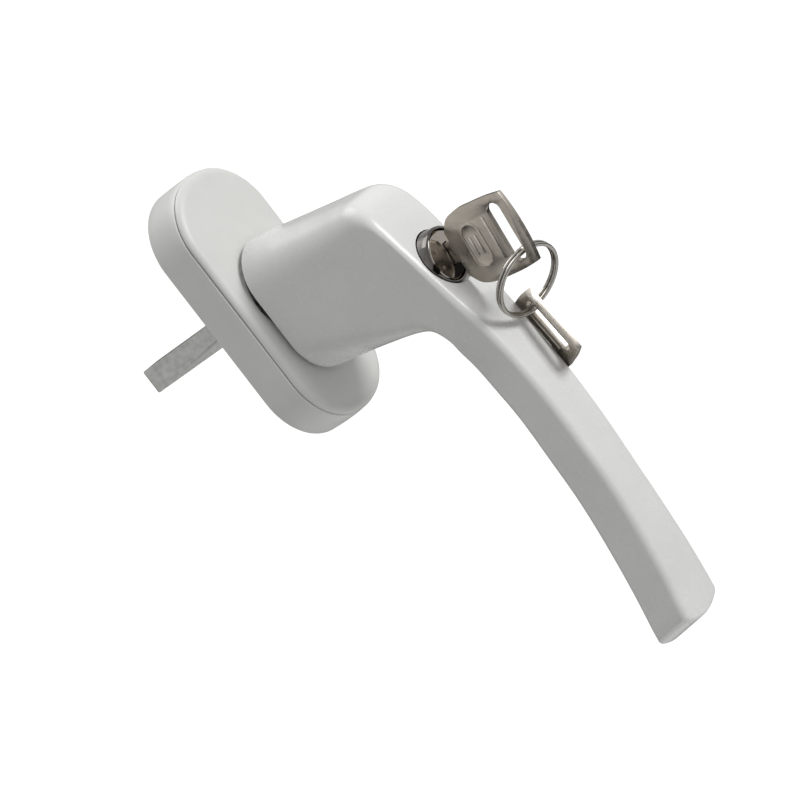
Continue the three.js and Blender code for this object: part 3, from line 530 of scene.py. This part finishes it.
def handle_skin():
    rows = smooth_rows(STATIONS, STATION_STEPS)
    rings = [handle_ring(rows[0], shrink=0.5)]
    for i, row in enumerate(rows):
        near_tip = max(0.0, (i / (len(rows) - 1) - 0.9) / 0.1)
        lift = 0.5 if i == 0 else 0.0
        rings.append(handle_ring(row, lift=lift, arc=TIP_ARC * near_tip**2))
    tip = rows[-1]
    steps = 10
    for i in range(steps + 1):
        angle = i / steps * math.pi / 2
        shrink = TIP_EDGE_RADIUS * (1 - math.cos(angle))
        lift = TIP_LENGTH - TIP_EDGE_RADIUS * (1 - math.sin(angle))
        rings.append(handle_ring(tip, lift=lift, shrink=shrink, arc=TIP_ARC))
    for shrink in (2.2, 3.2, 4.2, 5.2, 6.1):
        rings.append(handle_ring(tip, lift=TIP_LENGTH, shrink=shrink, arc=TIP_ARC))
    return loft("handle", rings)


def lock_frame():
    return Matrix.Translation(at(0, LOCK_OUT, LOCK_DOWN)) @ Matrix.Rotation(LOCK_LEAN, 4, "X")


def bearing_stub():
    stub = bar(STUB_RADIUS, STUB_END, STUB_ROOT)
    sides = [block((side * STUB_FLAT, -1, -8), (side * 8, STUB_ROOT + 0.5, 8)) for side in (-1, 1)]
    return shaped(stub, cut=sides)


def cross_pin_hole():
    hole = bar(PIN_HOLE_RADIUS, -12, 12, segments=32)
    hole.data.transform(Matrix.Rotation(math.pi / 2, 4, "Z"))
    return moved(hole, Matrix.Translation(at(0, PIN_OUT, 0)))


def handle_body():
    frame = lock_frame()
    square = SPINDLE_HALF + 0.15
    inner, outer = CLIP_GROOVE_RADII
    low, high = CLIP_GROOVE
    groove = lathe("groove", [(inner, low), (outer, low), (outer, high), (inner, high)], 64)
    return shaped(handle_skin(), add=[bearing_stub()], cut=[
        block((-square, -1, -square), (square, SPINDLE_DEPTH + GAP, square)),
        groove,
        cross_pin_hole(),
        moved(bar(RING_RADIUS + GAP, RING_BOTTOM - GAP, 12), frame),
        moved(bar(BARREL_HOLE_RADIUS, BARREL_BOTTOM, 0), frame),
        moved(bar(PISTON_HOLE_RADIUS, BOLT_BORE_BOTTOM, BARREL_BOTTOM + 0.5), frame),
        moved(bar(BOLT_HOLE_RADIUS, -52, BOLT_BORE_BOTTOM + 1), frame),
    ])


def spindle():
    chamfer = 0.4
    narrow = SPINDLE_HALF - chamfer
    sections = (
        (-SPINDLE_REACH, narrow), (-SPINDLE_REACH + chamfer, SPINDLE_HALF),
        (SPINDLE_DEPTH - chamfer, SPINDLE_HALF), (SPINDLE_DEPTH, narrow))
    corners = ((-1, -1), (1, -1), (1, 1), (-1, 1))
    rod = loft("spindle", [
        [at(x * half, out, down * half) for x, down in corners] for out, half in sections])
    return shaped(rod, cut=[cross_pin_hole()])


# ----------------------------------------------------------------------- lock

def lock_ring():
    return moved(lathe("ring", [
        (RING_INNER_RADIUS, RING_BOTTOM),
        (RING_RADIUS, RING_BOTTOM),
        (RING_RADIUS, RING_TOP - 0.75),
        (RING_RADIUS - 0.08, RING_TOP - 0.42),
        (RING_RADIUS - 0.3, RING_TOP - 0.12),
        (RING_RADIUS - 0.5, RING_TOP),
        (RING_RADIUS - 0.66, RING_TOP - 0.08),
        (RING_INNER_RADIUS, RING_TOP - 0.3),
    ]), lock_frame())


def lock_plug():
    body = lathe("plug", [
        (0, TAIL_END),
        (TAIL_RADIUS, TAIL_END),
        (TAIL_RADIUS, TAIL_GROOVE[0]),
        (TAIL_GROOVE_RADIUS, TAIL_GROOVE[0]),
        (TAIL_GROOVE_RADIUS, TAIL_GROOVE[1]),
        (TAIL_RADIUS, TAIL_GROOVE[1]),
        (TAIL_RADIUS, PLUG_BOTTOM),
        (PLUG_RADIUS, PLUG_BOTTOM),
        (PLUG_RADIUS, PLUG_HEAD_BOTTOM),
        (PLUG_HEAD_RADIUS, PLUG_HEAD_BOTTOM),
        (PLUG_HEAD_RADIUS, PLUG_FACE - 0.3),
        (PLUG_HEAD_RADIUS * 0.97, PLUG_FACE - 0.1),
        (PLUG_HEAD_RADIUS * 0.9, PLUG_FACE),
        (PLUG_HEAD_RADIUS * 0.75, PLUG_FACE + PLUG_DOME * 0.42),
        (PLUG_HEAD_RADIUS * 0.6, PLUG_FACE + PLUG_DOME * 0.7),
        (PLUG_HEAD_RADIUS * 0.45, PLUG_FACE + PLUG_DOME * 0.88),
        (PLUG_HEAD_RADIUS * 0.3, PLUG_FACE + PLUG_DOME * 0.97),
        (0, PLUG_FACE + PLUG_DOME),
    ])
    key_half = KEY_HALF + GAP
    blade_half = BLADE_HALF + GAP
    cuts = [block((-key_half, BLADE_TIP - GAP, -blade_half), (key_half, 6, blade_half))]
    cuts += [block((side * TAIL_FLAT, TAIL_END - 1, -4), (side * 4, CAM_TOP + 0.1, 4))
             for side in (-1, 1)]
    half_width, half_slot = WAFER_SLOT_HALF
    cuts += [block((-half_width, out - half_slot, -7), (half_width, out + half_slot, 7))
             for out in WAFER_OUTS]
    return moved(shaped(body, cut=cuts), lock_frame())


# ----------------------------------------------------------------------- keys

def arc_points(out, down, radius, start, end, steps):
    angles = [math.radians(start + (end - start) * i / steps) for i in range(steps + 1)]
    return [(out + radius * math.cos(a), down + radius * math.sin(a)) for a in angles]


def stadium(out, half_length, half_width):
    """A stadium along down, in the middle of the bow."""
    reach = half_length - half_width
    return (arc_points(out, BOW_OFFSET + reach, half_width, 0, 180, 16)
            + arc_points(out, BOW_OFFSET - reach, half_width, 180, 360, 16))


def bow_outline():
    side = [(BOW_SHOULDER_HALF, BOW_SHOULDER), *BOW_SIDE, (BOW_END_HALF, BOW_END)]
    run = [tuple(row) for row in smooth_rows([(out, across) for across, out in side], 8)]
    end = []
    steps = 10
    for i in range(1, steps):
        t = 1 - 2 * i / steps
        end.append((BOW_END + BOW_END_SWELL * (1 - t * t), BOW_END_HALF * t))
    mirrored = [(out, -across) for out, across in reversed(run)]
    return [(out, BOW_OFFSET + across) for out, across in run + end + mirrored]


def blade():
    half = BLADE_HALF
    outline = [(BLADE_TIP, -1.2), (BLADE_TIP + 2.2, -half), (BOW_SHOULDER + 1, -half),
               (BOW_SHOULDER + 1, half), (BLADE_TIP + 2.2, half), (BLADE_TIP, 1.2)]
    piece = prism(outline, KEY_HALF)
    cuts = []
    for i, out in enumerate(WAFER_OUTS):
        for side in (-1, 1):
            depth = 0.5 + 0.35 * ((i * 2 + (1 if side > 0 else 0)) % 3)
            cuts.append(prism([
                (out - 1.3, side * (half + 0.5)), (out - 0.5, side * (half - depth)),
                (out + 0.5, side * (half - depth)), (out + 1.3, side * (half + 0.5))], 3))
    for side, down in ((-1, -0.9), (1, 0.7)):
        cuts.append(block((side * 0.72, BLADE_TIP - 1, down - 0.5), (side * 2, 4.2, down + 0.5)))
    return shaped(piece, cut=cuts)


def panel_rim(raised):
    """A raised rim on both faces, round a field that is level with the bow."""
    rim = prism(stadium(PANEL_OUT, PANEL_HALF_LENGTH, PANEL_HALF_WIDTH), raised)
    inner = prism(
        stadium(PANEL_OUT, PANEL_HALF_LENGTH - PANEL_RIM, PANEL_HALF_WIDTH - PANEL_RIM), raised + 1)
    fields = [block((side * KEY_HALF, PANEL_OUT - 4, -9), (side * 3, PANEL_OUT + 4, 9))
              for side in (-1, 1)]
    for field in fields:
        combined(field, "INTERSECT", inner)
    bpy.data.objects.remove(inner)
    return shaped(rim, cut=fields)


def key():
    raised = KEY_HALF + RELIEF
    ribs = [block((-raised, out - 0.3, BOW_OFFSET - reach), (raised, out + 0.3, BOW_OFFSET + reach))
            for out, reach in ((RIB_OUT, 6.0), (PANEL_OUT - 0.9, 2.6), (PANEL_OUT + 0.9, 2.6))]
    slot = prism(stadium(SLOT_OUT, SLOT_HALF_LENGTH, SLOT_HALF_WIDTH), 3)
    bow = prism(bow_outline(), KEY_HALF)
    return shaped(bow, add=[blade(), panel_rim(raised), *ribs], cut=[slot])


# ----------------------------------------------------------------- split ring

def wire_section(steps=16, squareness=0.78):
    """(across, along) points round a wire that is slightly squarer than an ellipse."""
    section = []
    for i in range(steps):
        angle = 2 * math.pi * i / steps
        across = math.copysign(abs(math.cos(angle)) ** squareness, math.cos(angle))
        along = math.copysign(abs(math.sin(angle)) ** squareness, math.sin(angle))
        section.append((across * WIRE_RADIAL / 2, along * WIRE_AXIAL / 2))
    return section


def split_ring():
    """Two turns of wire, thinner at the ends."""
    steps = 240
    section = wire_section()
    rings = []
    for s in range(steps + 1):
        t = s / steps
        angle = 2 * math.pi * WIRE_TURNS * t
        out = -WIRE_PITCH + 2 * WIRE_PITCH * t
        taper = min(1.0, 0.55 + 0.45 * min(t, 1 - t) * 60)
        rings.append([
            at((KEY_RING_RADIUS + p * taper) * math.cos(angle), out + q * taper,
               -(KEY_RING_RADIUS + p * taper) * math.sin(angle))
            for p, q in section])
    return loft("split", rings)


def basis(x_axis, y_axis, z_axis, origin):
    matrix = Matrix((x_axis, y_axis, z_axis)).transposed().to_4x4()
    matrix.translation = origin
    return matrix


def ring_places():
    """The frames of the split ring and of the spare key."""
    normal = direction(-0.32, 0.63, 0.71)
    hangs = perpendicular(direction(0.37, -0.68, 0.66), normal)
    outward = direction(-0.5, 0.87, -0.2)
    across = perpendicular(direction(-0.101, 0.173, 0.98), outward)
    top = lock_frame() @ at(0, SLOT_OUT + RING_SHIFT, SLOT_HANG)
    centre = top + hangs * KEY_RING_RADIUS * MM
    ring = basis(hangs, normal, hangs.cross(normal), centre)
    origin = (top + hangs * 2 * KEY_RING_RADIUS * MM
              - outward * SLOT_OUT * MM + across * SPARE_HANG * MM)
    inward = -outward
    spare = basis(inward.cross(-across), inward, -across, origin)
    return ring, spare


# ------------------------------------------------------------------ materials

def nodes_of(material):
    material.use_nodes = True
    tree = material.node_tree
    return tree, tree.nodes["Principled BSDF"]


def noise(tree, scale, detail=3.0, stretch=(1, 1, 1)):
    """A noise texture whose grains are scale metres across."""
    place = tree.nodes.new("ShaderNodeTexCoord")
    mapping = tree.nodes.new("ShaderNodeMapping")
    mapping.inputs["Scale"].default_value = stretch
    texture = tree.nodes.new("ShaderNodeTexNoise")
    texture.inputs["Scale"].default_value = 1 / scale
    texture.inputs["Detail"].default_value = detail
    texture.inputs["Roughness"].default_value = 0.55
    tree.links.new(place.outputs["Object"], mapping.inputs["Vector"])
    tree.links.new(mapping.outputs["Vector"], texture.inputs["Vector"])
    return texture.outputs["Fac"]


def spread(tree, value, low, high, start=0.3, end=0.7):
    """Maps a noise value from start..end to low..high."""
    node = tree.nodes.new("ShaderNodeMapRange")
    node.inputs["From Min"].default_value = start
    node.inputs["From Max"].default_value = end
    node.inputs["To Min"].default_value = low
    node.inputs["To Max"].default_value = high
    tree.links.new(value, node.inputs["Value"])
    return node.outputs["Result"]


def multiplied(tree, first, second):
    product = tree.nodes.new("ShaderNodeMath")
    product.operation = "MULTIPLY"
    tree.links.new(first, product.inputs[0])
    tree.links.new(second, product.inputs[1])
    return product.outputs["Value"]


def blended(tree, factor, dark, light):
    ramp = tree.nodes.new("ShaderNodeValToRGB")
    ramp.color_ramp.elements[0].position = 0.25
    ramp.color_ramp.elements[0].color = (*dark, 1)
    ramp.color_ramp.elements[1].position = 0.75
    ramp.color_ramp.elements[1].color = (*light, 1)
    tree.links.new(factor, ramp.inputs["Fac"])
    return ramp.outputs["Color"]


def edge_wear_and_highlight(tree, color, rubbed_and_lit_color, amount):
    """Lets a colour through on the piece's convex edges, broken up by a fine noise. The lighter
    edges stand for rubbing and, where the amount is large, for a painted highlight.
    """
    geometry = tree.nodes.new("ShaderNodeNewGeometry")
    edge = spread(tree, geometry.outputs["Pointiness"], 0.0, amount, 0.53, 0.6)
    patches = spread(tree, noise(tree, 0.0018), 0.3, 1.0)
    mix = tree.nodes.new("ShaderNodeMix")
    mix.data_type = "RGBA"
    mix.inputs[7].default_value = (*rubbed_and_lit_color, 1)
    tree.links.new(multiplied(tree, edge, patches), mix.inputs[0])
    tree.links.new(color, mix.inputs[6])
    return mix.outputs[2]


def bumped(tree, shader, layers):
    """Stacks bump from (value, depth in metres) layers onto a shader."""
    previous = None
    for value, depth in layers:
        bump = tree.nodes.new("ShaderNodeBump")
        bump.inputs["Strength"].default_value = 1.0
        bump.inputs["Distance"].default_value = depth
        tree.links.new(value, bump.inputs["Height"])
        if previous:
            tree.links.new(previous, bump.inputs["Normal"])
        previous = bump.outputs["Normal"]
    tree.links.new(previous, shader.inputs["Normal"])


def coating(name, dark, light, roughness, grain, depth, wear_and_highlight_color=(0.9, 0.9, 0.88), wear_and_highlight=0.25):
    """Paint or moulded plastic: soft mottling, orange peel and slightly rubbed edges."""
    material = bpy.data.materials.new(name)
    tree, shader = nodes_of(material)
    base = blended(tree, noise(tree, 0.014, 4.0), dark, light)
    tree.links.new(edge_wear_and_highlight(tree, base, wear_and_highlight_color, wear_and_highlight), shader.inputs["Base Color"])
    gloss = spread(tree, noise(tree, 0.006, 5.0), roughness - 0.02, roughness + 0.02)
    tree.links.new(gloss, shader.inputs["Roughness"])
    shader.inputs["IOR"].default_value = 1.48
    fine = (noise(tree, grain, 2.0), depth)
    coarse = (noise(tree, grain * 6, 1.0), depth * 1.5)
    bumped(tree, shader, [fine, coarse])
    return material


def metal(name, dark, light, roughness, grain=0.0009, depth=0.000006,
          wear_and_highlight_color=(0.85, 0.84, 0.82), wear_and_highlight=0.5, scratches=(1, 1, 1)):
    """Bare or plated metal: stained, faintly scratched, and brighter on its convex edges, as rubbed
    metal and, where the amount is large, as a painted highlight.
    """
    material = bpy.data.materials.new(name)
    tree, shader = nodes_of(material)
    shader.inputs["Metallic"].default_value = 1.0
    base = blended(tree, noise(tree, 0.004, 6.0), dark, light)
    tree.links.new(edge_wear_and_highlight(tree, base, wear_and_highlight_color, wear_and_highlight), shader.inputs["Base Color"])
    gloss = spread(tree, noise(tree, 0.0012, 5.0, stretch=scratches),
                   max(0.03, roughness - 0.07), roughness + 0.08)
    tree.links.new(gloss, shader.inputs["Roughness"])
    bumped(tree, shader, [(noise(tree, grain, 4.0, stretch=scratches), depth)])
    return material


def materials():
    return {
        "white_paint": coating(
            "white_paint", (0.70, 0.70, 0.685), (0.745, 0.745, 0.73), 0.27, 0.0006, 0.000006),
        "cover_plastic": coating(
            "cover_plastic", (0.66, 0.665, 0.64), (0.70, 0.705, 0.68), 0.42, 0.00035, 0.000005),
        "base_plastic": coating(
            "base_plastic", (0.69, 0.69, 0.67), (0.74, 0.74, 0.72), 0.45, 0.00035, 0.000006),
        "zinc": metal(
            "zinc", (0.43, 0.43, 0.41), (0.47, 0.475, 0.455), 0.42, 0.0007, 0.000005,
            scratches=(1, 0.12, 1)),
        "steel": metal("steel", (0.42, 0.43, 0.45), (0.55, 0.56, 0.58), 0.28),
        "spring_steel": metal("spring_steel", (0.30, 0.30, 0.33), (0.42, 0.42, 0.45), 0.33),
        # Near-black chrome: painted shade, the dark reflections on the collar's sides put into its
        # colour.
        "lock_chrome": metal(
            "lock_chrome", (0.07, 0.065, 0.06), (0.11, 0.10, 0.09), 0.10,
            depth=0.000002, wear_and_highlight=0.35),
        "lock_face": metal(
            "lock_face", (0.36, 0.33, 0.295), (0.42, 0.385, 0.345), 0.05,
            depth=0.000001, wear_and_highlight=0.0),
        "brass": metal("brass", (0.52, 0.36, 0.14), (0.70, 0.52, 0.24), 0.3,
                       wear_and_highlight_color=(0.85, 0.70, 0.40)),
        "nylon": coating("nylon", (0.76, 0.75, 0.70), (0.83, 0.82, 0.77), 0.5, 0.0005, 0.000006),
        # The keys' edges are lightened at full amount: partly rubbed nickel and partly a painted
        # highlight where the edges catch the light.
        "key_nickel": metal(
            "key_nickel", (0.44, 0.40, 0.345), (0.50, 0.455, 0.40), 0.34, 0.0009, 0.000002,
            wear_and_highlight_color=(0.90, 0.87, 0.82), wear_and_highlight=1.0),
        "ring_nickel": metal(
            "ring_nickel", (0.34, 0.325, 0.30), (0.46, 0.44, 0.41), 0.16, depth=0.000003),
    }


def paint_frame(frame, painted):
    """Gives every CAD node the material of its slot."""
    for part in frame["record"]["subparts"]:
        piece = frame["nodes"][part["node"]]
        piece.data.materials.clear()
        piece.data.materials.append(painted[part["material_slot"]])
        for polygon in piece.data.polygons:
            polygon.use_smooth = True
        piece.data.set_sharp_from_angle(angle=math.radians(32))


# ------------------------------------------------------------ floor and lights

def area_light(name, location, target, size, watts):
    data = bpy.data.lights.new(name, "AREA")
    data.shape = "DISK"
    data.size = size
    data.energy = watts
    light = bpy.data.objects.new(name, data)
    bpy.context.scene.collection.objects.link(light)
    light.location = location
    aim = Vector(target) - Vector(location)
    light.rotation_euler = aim.to_track_quat("-Z", "Y").to_euler()


def floor(lowest):
    disc = bmesh.new()
    bmesh.ops.create_circle(disc, cap_ends=True, segments=128, radius=FLOOR_RADIUS)
    mesh = bpy.data.meshes.new("floor")
    disc.to_mesh(mesh)
    disc.free()
    piece = new_object("floor", mesh)
    piece.location = (0, 0, lowest - FLOOR_DROP)
    material = bpy.data.materials.new("floor")
    tree, shader = nodes_of(material)
    pale = blended(tree, noise(tree, 0.4), (0.86, 0.86, 0.855), (0.90, 0.90, 0.895))
    tree.links.new(pale, shader.inputs["Base Color"])
    shader.inputs["Roughness"].default_value = 0.8
    mesh.materials.append(material)


def mixed(tree, factor, first, second):
    """A number: first where factor is 0 and second where it is 1."""
    mix = tree.nodes.new("ShaderNodeMix")
    tree.links.new(factor, mix.inputs[0])
    for socket, value in ((mix.inputs[2], first), (mix.inputs[3], second)):
        if isinstance(value, float):
            socket.default_value = value
        else:
            tree.links.new(value, socket)
    return mix.outputs[0]


def along_direction(tree, vector, axis):
    """How far a unit vector points along an axis."""
    dot = tree.nodes.new("ShaderNodeVectorMath")
    dot.operation = "DOT_PRODUCT"
    dot.inputs[1].default_value = axis
    tree.links.new(vector, dot.inputs[0])
    return dot.outputs["Value"]


def surroundings():
    """White ground behind and even light all round; metal reflects a dark floor and corner."""
    world = bpy.data.worlds.new("studio")
    bpy.context.scene.world = world
    world.use_nodes = True
    tree = world.node_tree
    place = tree.nodes.new("ShaderNodeTexCoord")
    height = along_direction(tree, place.outputs["Generated"], (0, 0, 1))
    toward_corner = along_direction(tree, place.outputs["Generated"], DARK_CORNER)
    room = spread(tree, height, 0.02, ROOM_GLOW, -0.22, -0.12)
    shade = spread(tree, toward_corner, 1.0, 0.04, 0.55, 0.8)
    reflected = multiplied(tree, room, shade)
    path = tree.nodes.new("ShaderNodeLightPath")
    lighting = mixed(tree, path.outputs["Is Glossy Ray"], AMBIENT, reflected)
    strength = mixed(tree, path.outputs["Is Camera Ray"], lighting, BACKDROP)
    background = tree.nodes["Background"]
    background.inputs["Color"].default_value = (1, 1, 1, 1)
    tree.links.new(strength, background.inputs["Strength"])


def lights():
    middle = (0, -0.04, -0.05)
    area_light("key", (0.25, -1.2, 0.35), middle, 0.5, 9.0)
    area_light("top", (0.0, 0.12, 1.1), middle, 0.9, 6.2)


def camera():
    data = bpy.data.cameras.new("camera")
    data.lens = CAMERA_LENS
    data.sensor_width = 36.0
    data.clip_start = 0.05
    view = bpy.data.objects.new("camera", data)
    bpy.context.scene.collection.objects.link(view)
    view.matrix_world = basis(
        Vector(CAMERA_RIGHT), Vector(CAMERA_UP), Vector(CAMERA_BACK), Vector(CAMERA_LOCATION))
    bpy.context.scene.camera = view


# ------------------------------------------------------------------- assembly

def main():
    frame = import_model()
    cad_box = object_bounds()
    camera()
    painted = materials()
    paint_frame(frame, painted)

    def place(piece, name, body, node, slot, bevel=0.0, angle=30.0):
        finished(piece, name, body, [node], painted[slot], bevel, angle)

    place(rosette_base(), "base_shell", "rosette", "rosette_base", "base_plastic")
    place(rosette_cover(), "cover_shell", "cover", "rosette_cover", "cover_plastic")
    place(handle_body(), "lever", "handle", "handle_body", "white_paint", angle=38.0)
    place(spindle(), "spindle_bar", "handle", "spindle", "zinc", bevel=0.25)
    place(lock_ring(), "lock_collar", "handle", "lock_ring", "lock_chrome", angle=50.0)
    place(lock_plug(), "lock_core", "plug", "lock_plug", "lock_face")
    frame_matrix = lock_frame()
    ring, spare = ring_places()
    place(moved(key(), frame_matrix), "key_one", "key", "key_in_lock", "key_nickel", bevel=0.1)
    place(moved(key(), spare), "key_two", "spare", "spare_key", "key_nickel", bevel=0.1)
    place(moved(split_ring(), ring), "ring_wire", "ring", "split_ring", "ring_nickel", angle=60.0)

    floor(cad_box[0][2])
    surroundings()
    lights()
    bpy.context.scene.view_settings.view_transform = "Standard"


main()
